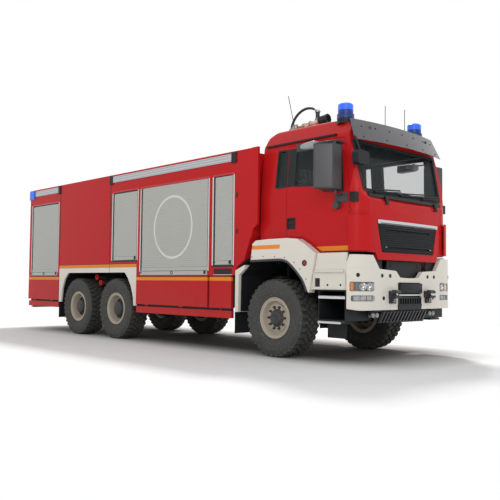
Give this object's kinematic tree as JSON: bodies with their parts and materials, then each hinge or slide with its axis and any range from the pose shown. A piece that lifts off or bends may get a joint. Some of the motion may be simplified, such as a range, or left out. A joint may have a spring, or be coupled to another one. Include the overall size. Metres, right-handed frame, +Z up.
{
  "type": "airport fire truck",
  "caption": "Airport fire truck with a tilting cab, locker body behind roller shutters, three driven axles and a roof-mounted water monitor.",
  "frame": {"origin": "on the ground, at the middle of the overall length and width", "axes": "+X forward, +Y to the vehicle's left, +Z up"},
  "size_m": [9.4, 3.0048, 3.9763],
  "materials": {
    "body_red": "gloss",
    "fender_white": "gloss",
    "chassis_black": "satin",
    "engine_grey": "satin",
    "black_plastic": "matte",
    "interior_black": "matte",
    "grille_chrome": "polished",
    "lamp_glass": "gloss",
    "lamp_blue": "gloss",
    "lamp_red": "gloss",
    "strip_white": "gloss",
    "window_glass": "clear",
    "visor_smoke": "smoked",
    "shutter_grey": "satin",
    "deck_aluminium": "satin",
    "steel_grey": "satin",
    "monitor_orange": "gloss",
    "tyre_rubber": "matte",
    "rim_grey": "satin"
  },
  "bodies": {
    "chassis": {"chassis_frame": "chassis_black", "axle_beams": "chassis_black", "leaf_springs": "chassis_black", "drive_line": "chassis_black", "engine": "engine_grey", "front_bumper": "fender_white", "front_lamps": "lamp_glass", "bumper_blacks": "black_plastic", "tow_couplings": "chassis_black", "front_lockers": "body_red", "tank_section": "body_red", "rear_lockers": "body_red", "roof_deck": "deck_aluminium", "shutters": "shutter_grey", "shutter_frames": "deck_aluminium", "light_strips": "strip_white", "blue_corner_lamps": "lamp_blue", "fenders": "fender_white", "arch_liners": "black_plastic", "underrun_guards": "body_red", "fixed_sills": "body_red", "rear_bar": "chassis_black", "tail_lamps": "lamp_red", "monitor_riser": "steel_grey"},
    "cab": {"cab_shell": "body_red", "front_panel": "body_red", "grille": "black_plastic", "grille_bar": "grille_chrome", "cab_glass": "window_glass", "sun_visor": "visor_smoke", "cab_trim": "black_plastic", "cab_interior": "interior_black", "seats": "interior_black", "beacons": "lamp_blue"},
    "right_door": {"door_right": "body_red", "door_glass_right": "window_glass", "mirror_right": "black_plastic"},
    "left_door": {"door_left": "body_red", "door_glass_left": "window_glass", "mirror_left": "black_plastic"},
    "right_knuckle": {"knuckle_right": "chassis_black"},
    "left_knuckle": {"knuckle_left": "chassis_black"},
    "right_front_flap": {"flap_front_right": "body_red"},
    "left_front_flap": {"flap_front_left": "body_red"},
    "right_rear_flap": {"flap_rear_right": "body_red"},
    "left_rear_flap": {"flap_rear_left": "body_red"},
    "monitor_turntable": {"monitor_head": "steel_grey"},
    "monitor_gun": {"monitor_barrel": "monitor_orange"},
    "front_right_wheel": {"tyre_front_right": "tyre_rubber", "wheel_front_right": "rim_grey"},
    "front_left_wheel": {"tyre_front_left": "tyre_rubber", "wheel_front_left": "rim_grey"},
    "middle_right_wheel": {"tyre_middle_right": "tyre_rubber", "wheel_middle_right": "rim_grey"},
    "middle_left_wheel": {"tyre_middle_left": "tyre_rubber", "wheel_middle_left": "rim_grey"},
    "rear_right_wheel": {"tyre_rear_right": "tyre_rubber", "wheel_rear_right": "rim_grey"},
    "rear_left_wheel": {"tyre_rear_left": "tyre_rubber", "wheel_rear_left": "rim_grey"}
  },
  "joints": [
    {"name": "cab_tilt", "type": "hinge", "parent": "chassis", "child": "cab", "pos_m": [4.422, 0, 1.1], "axis": [0, 1, 0], "range_deg": [0, 60]},
    {"name": "right_door_swing", "type": "hinge", "parent": "cab", "child": "right_door", "pos_m": [4.383, -1.124, 2.3], "axis": [0, 0, 1], "range_deg": [0, 75]},
    {"name": "left_door_swing", "type": "hinge", "parent": "cab", "child": "left_door", "pos_m": [4.383, 1.124, 2.3], "axis": [0, 0, -1], "range_deg": [0, 75]},
    {"name": "left_steer", "type": "hinge", "parent": "chassis", "child": "left_knuckle", "pos_m": [3.1, 0.85, 0.568], "axis": [0, 0, 1], "range_deg": [-35, 35]},
    {"name": "right_steer", "type": "hinge", "parent": "chassis", "child": "right_knuckle", "pos_m": [3.1, -0.85, 0.568], "axis": [0, 0, 1], "range_deg": [-35, 35]},
    {"name": "front_right_roll", "type": "hinge", "parent": "right_knuckle", "child": "front_right_wheel", "pos_m": [3.1, -1.045, 0.568], "axis": [0, 1, 0], "continuous": true},
    {"name": "middle_right_roll", "type": "hinge", "parent": "chassis", "child": "middle_right_wheel", "pos_m": [-1.1, -1.045, 0.568], "axis": [0, 1, 0], "continuous": true},
    {"name": "rear_right_roll", "type": "hinge", "parent": "chassis", "child": "rear_right_wheel", "pos_m": [-2.5, -1.045, 0.568], "axis": [0, 1, 0], "continuous": true},
    {"name": "right_front_flap_fold", "type": "hinge", "parent": "chassis", "child": "right_front_flap", "pos_m": [0.618, -1.242, 0.667], "axis": [1, 0, 0], "range_deg": [0, 90]},
    {"name": "right_rear_flap_fold", "type": "hinge", "parent": "chassis", "child": "right_rear_flap", "pos_m": [-3.975, -1.242, 0.667], "axis": [1, 0, 0], "range_deg": [0, 90]},
    {"name": "front_left_roll", "type": "hinge", "parent": "left_knuckle", "child": "front_left_wheel", "pos_m": [3.1, 1.045, 0.568], "axis": [0, 1, 0], "continuous": true},
    {"name": "middle_left_roll", "type": "hinge", "parent": "chassis", "child": "middle_left_wheel", "pos_m": [-1.1, 1.045, 0.568], "axis": [0, 1, 0], "continuous": true},
    {"name": "rear_left_roll", "type": "hinge", "parent": "chassis", "child": "rear_left_wheel", "pos_m": [-2.5, 1.045, 0.568], "axis": [0, 1, 0], "continuous": true},
    {"name": "left_front_flap_fold", "type": "hinge", "parent": "chassis", "child": "left_front_flap", "pos_m": [0.618, 1.242, 0.667], "axis": [-1, 0, 0], "range_deg": [0, 90]},
    {"name": "left_rear_flap_fold", "type": "hinge", "parent": "chassis", "child": "left_rear_flap", "pos_m": [-3.975, 1.242, 0.667], "axis": [-1, 0, 0], "range_deg": [0, 90]},
    {"name": "monitor_pan", "type": "hinge", "parent": "chassis", "child": "monitor_turntable", "pos_m": [2.45, 0, 3.39], "axis": [0, 0, 1], "range_deg": [-135, 135]},
    {"name": "monitor_lift", "type": "hinge", "parent": "monitor_turntable", "child": "monitor_gun", "pos_m": [2.45, 0, 3.65], "axis": [0, -1, 0], "range_deg": [-8, 70]}
  ],
  "couplings": [
    {"joint": "right_steer", "follows": "left_steer", "ratio": 1}
  ]
}
